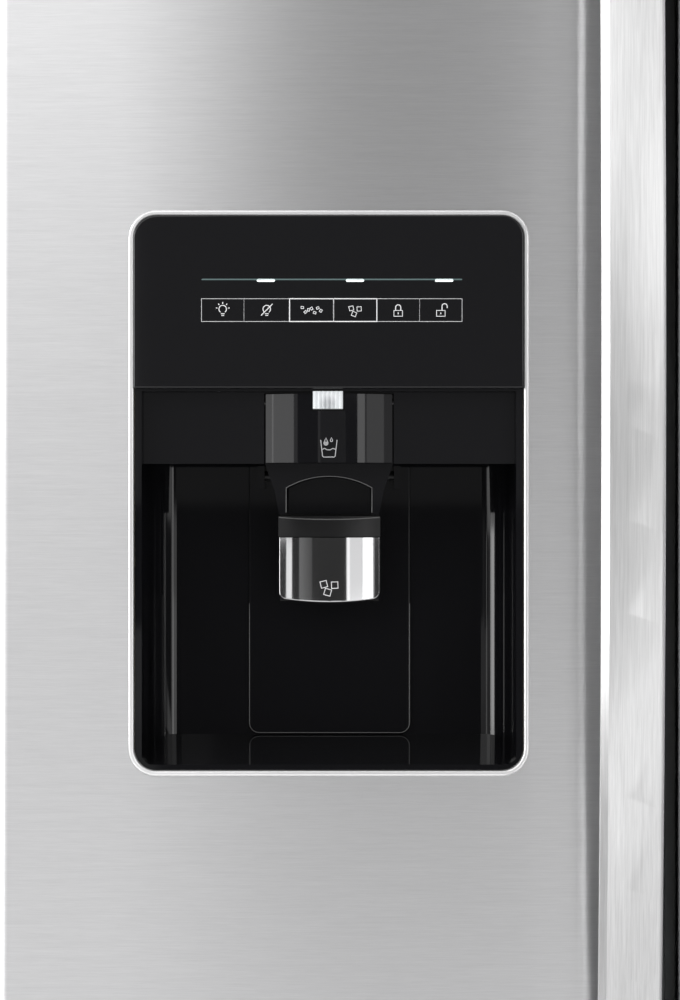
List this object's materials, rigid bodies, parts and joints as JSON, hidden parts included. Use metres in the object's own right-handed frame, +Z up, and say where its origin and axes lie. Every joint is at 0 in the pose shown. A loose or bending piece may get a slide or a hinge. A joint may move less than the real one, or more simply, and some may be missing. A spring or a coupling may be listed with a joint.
{
  "type": "side by side refrigerator",
  "caption": "Side by side refrigerator with brushed steel doors, bowed bar handles and an ice and water dispenser recessed in the freezer door.",
  "frame": {"origin": "on the floor, in the middle of the footprint", "axes": "+Z up, -Y is the side the doors face, +X to the right of someone standing in front"},
  "size_m": [0.908, 0.845, 1.755],
  "materials": {
    "stainless": "brushed",
    "handle_steel": "brushed",
    "cabinet_paint": "satin",
    "inner_steel": "satin",
    "foam": "matte",
    "white_plastic": "satin",
    "clear_plastic": "gloss",
    "shelf_glass": "gloss",
    "gloss_black": "gloss",
    "matte_black": "matte",
    "gasket": "matte",
    "rubber": "matte",
    "polished": "polished",
    "bare_aluminium": "satin",
    "grey_plastic": "matte",
    "coated_wire": "gloss"
  },
  "bodies": {
    "cabinet": {"cabinet_wrapper": "cabinet_paint", "cabinet_back": "inner_steel", "cabinet_foam": "foam", "freezer_liner": "white_plastic", "fridge_liner": "white_plastic", "front_rails": "inner_steel", "base_frame": "inner_steel", "toe_grille": "grey_plastic", "machine_cover": "inner_steel", "water_valve": "white_plastic", "compressor": "cabinet_paint", "condenser": "cabinet_paint", "drain_pan": "matte_black", "motors": "inner_steel", "door_hinges": "inner_steel", "hinge_covers": "grey_plastic", "hinge_screws": "polished", "evaporator": "bare_aluminium", "evaporator_cover": "white_plastic", "freezer_racks": "coated_wire", "ice_bin": "clear_plastic", "ice_maker": "white_plastic", "shelf_frames": "white_plastic", "shelf_glass": "shelf_glass", "fridge_drawers": "clear_plastic", "control_housing": "white_plastic"},
    "freezer_door": {"freezer_door_skin": "stainless", "freezer_door_foam": "foam", "freezer_door_liner": "white_plastic", "freezer_door_gasket": "gasket", "freezer_door_caps": "grey_plastic", "freezer_handle": "handle_steel", "freezer_door_bins": "clear_plastic", "dispenser_bezel": "polished", "control_panel": "gloss_black", "dispenser_housing": "gloss_black", "ice_chute": "gloss_black", "ice_duct": "white_plastic", "lamp_lens": "clear_plastic"},
    "fridge_door": {"fridge_door_skin": "stainless", "fridge_door_foam": "foam", "fridge_door_liner": "white_plastic", "fridge_door_gasket": "gasket", "fridge_door_caps": "grey_plastic", "fridge_handle": "handle_steel", "fridge_door_bins": "clear_plastic"},
    "ice_lever": {"ice_lever": "matte_black", "ice_pad": "polished"},
    "chute_flap": {"chute_flap": "matte_black"},
    "water_pad": {"water_pad": "gloss_black"},
    "condenser_fan": {"condenser_fan": "matte_black"},
    "evaporator_fan": {"evaporator_fan": "white_plastic"},
    "rollers": {"rollers": "rubber"},
    "foot_left": {"foot_left": "matte_black"},
    "foot_right": {"foot_right": "matte_black"},
    "freezer_dial": {"freezer_dial": "grey_plastic"},
    "fridge_dial": {"fridge_dial": "grey_plastic"},
    "shutoff_arm": {"shutoff_arm": "polished"},
    "ice_auger": {"ice_auger": "bare_aluminium"},
    "dairy_lid": {"dairy_lid": "clear_plastic"}
  },
  "joints": [
    {"name": "freezer_door_hinge", "type": "hinge", "parent": "cabinet", "child": "freezer_door", "pos_m": [-0.44, -0.3275, 0.9], "axis": [0, 0, -1], "range_deg": [0, 130]},
    {"name": "fridge_door_hinge", "type": "hinge", "parent": "cabinet", "child": "fridge_door", "pos_m": [0.44, -0.3275, 0.9], "axis": [0, 0, 1], "range_deg": [0, 130]},
    {"name": "ice_lever_hinge", "type": "hinge", "parent": "freezer_door", "child": "ice_lever", "pos_m": [-0.2575, -0.298, 1.14], "axis": [1, 0, 0], "range_deg": [0, 12], "stiffness_Nm_per_rad": 0.6, "springref_deg": -17.19},
    {"name": "chute_flap_hinge", "type": "hinge", "parent": "freezer_door", "child": "chute_flap", "pos_m": [-0.2575, -0.311, 1.183], "axis": [1, 0, 0], "range_deg": [0, 60]},
    {"name": "water_pad_hinge", "type": "hinge", "parent": "freezer_door", "child": "water_pad", "pos_m": [-0.2575, -0.35, 1.183], "axis": [1, 0, 0], "range_deg": [0, 6], "stiffness_Nm_per_rad": 0.5, "springref_deg": -11.46},
    {"name": "condenser_fan_spin", "type": "hinge", "parent": "cabinet", "child": "condenser_fan", "pos_m": [-0.124, 0.29525, 0.17], "axis": [1, 0, 0], "continuous": true},
    {"name": "evaporator_fan_spin", "type": "hinge", "parent": "cabinet", "child": "evaporator_fan", "pos_m": [-0.2425, 0.309, 1.16], "axis": [0, 1, 0], "continuous": true},
    {"name": "rollers_spin", "type": "hinge", "parent": "cabinet", "child": "rollers", "pos_m": [0, 0.3785, 0.018], "axis": [1, 0, 0], "continuous": true},
    {"name": "foot_left_screw", "type": "hinge", "parent": "cabinet", "child": "foot_left", "pos_m": [-0.424, -0.2605, 0], "axis": [0, 0, 1], "continuous": true},
    {"name": "foot_right_screw", "type": "hinge", "parent": "cabinet", "child": "foot_right", "pos_m": [0.424, -0.2605, 0], "axis": [0, 0, 1], "continuous": true},
    {"name": "freezer_dial_turn", "type": "hinge", "parent": "cabinet", "child": "freezer_dial", "pos_m": [0.1205, -0.1735, 1.636], "axis": [0, 1, 0], "range_deg": [-135, 135]},
    {"name": "fridge_dial_turn", "type": "hinge", "parent": "cabinet", "child": "fridge_dial", "pos_m": [0.2505, -0.1735, 1.636], "axis": [0, 1, 0], "range_deg": [-135, 135]},
    {"name": "shutoff_arm_hinge", "type": "hinge", "parent": "cabinet", "child": "shutoff_arm", "pos_m": [-0.35, 0.166, 1.551], "axis": [-1, 0, 0], "range_deg": [0, 35]},
    {"name": "ice_auger_spin", "type": "hinge", "parent": "cabinet", "child": "ice_auger", "pos_m": [-0.2575, 0, 1.378], "axis": [0, 1, 0], "continuous": true},
    {"name": "dairy_lid_hinge", "type": "hinge", "parent": "fridge_door", "child": "dairy_lid", "pos_m": [0.189, -0.2195, 1.562], "axis": [1, 0, 0], "range_deg": [0, 75]}
  ],
  "couplings": [
    {"joint": "chute_flap_hinge", "follows": "ice_lever_hinge", "ratio": 5}
  ]
}
